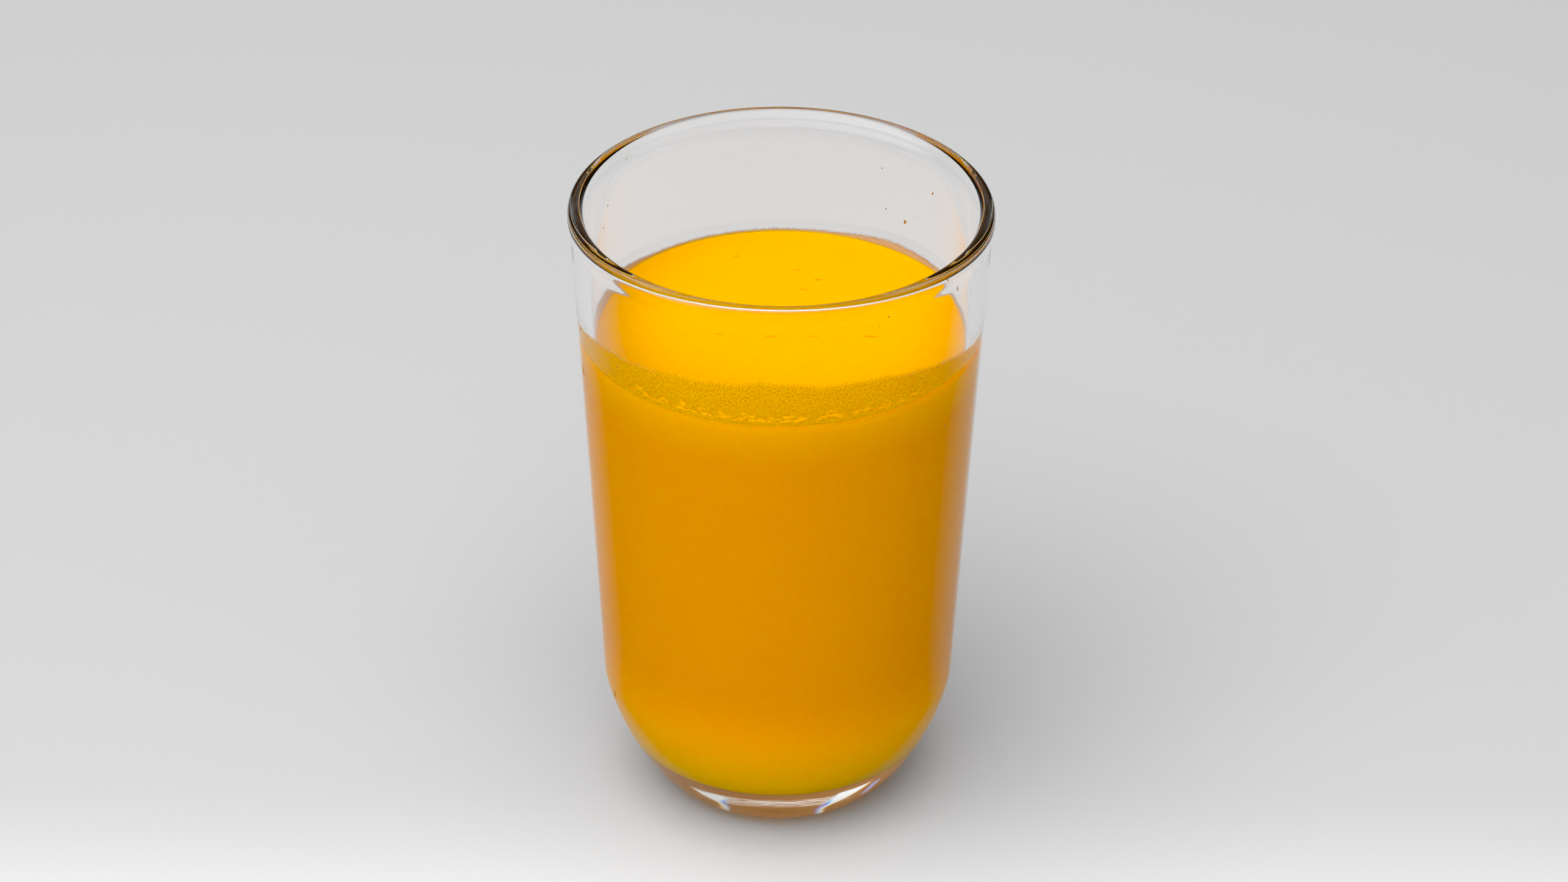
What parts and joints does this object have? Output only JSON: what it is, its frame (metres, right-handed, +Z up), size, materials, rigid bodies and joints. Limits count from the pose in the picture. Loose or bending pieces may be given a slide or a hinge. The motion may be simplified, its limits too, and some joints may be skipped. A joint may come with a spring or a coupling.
{
  "type": "glass of mango lassi",
  "caption": "Clear straight-sided glass tumbler with a rounded heavy bottom, nearly filled with thick orange-yellow mango lassi.",
  "frame": {"origin": "centre of the foot, on the plane that the glass stands on", "axes": "+Z up along the axis of the glass, towards the rim; the glass is turned about Z, so +X and +Y are any two directions across it"},
  "size_m": [0.076, 0.076, 0.1214],
  "materials": {
    "clear_glass": "clear, fire-polished",
    "mango_drink": "thick opaque drink with a soft wet gloss"
  },
  "bodies": {
    "root": {"tumbler": "clear_glass", "lassi": "mango_drink"}
  },
  "joints": []
}
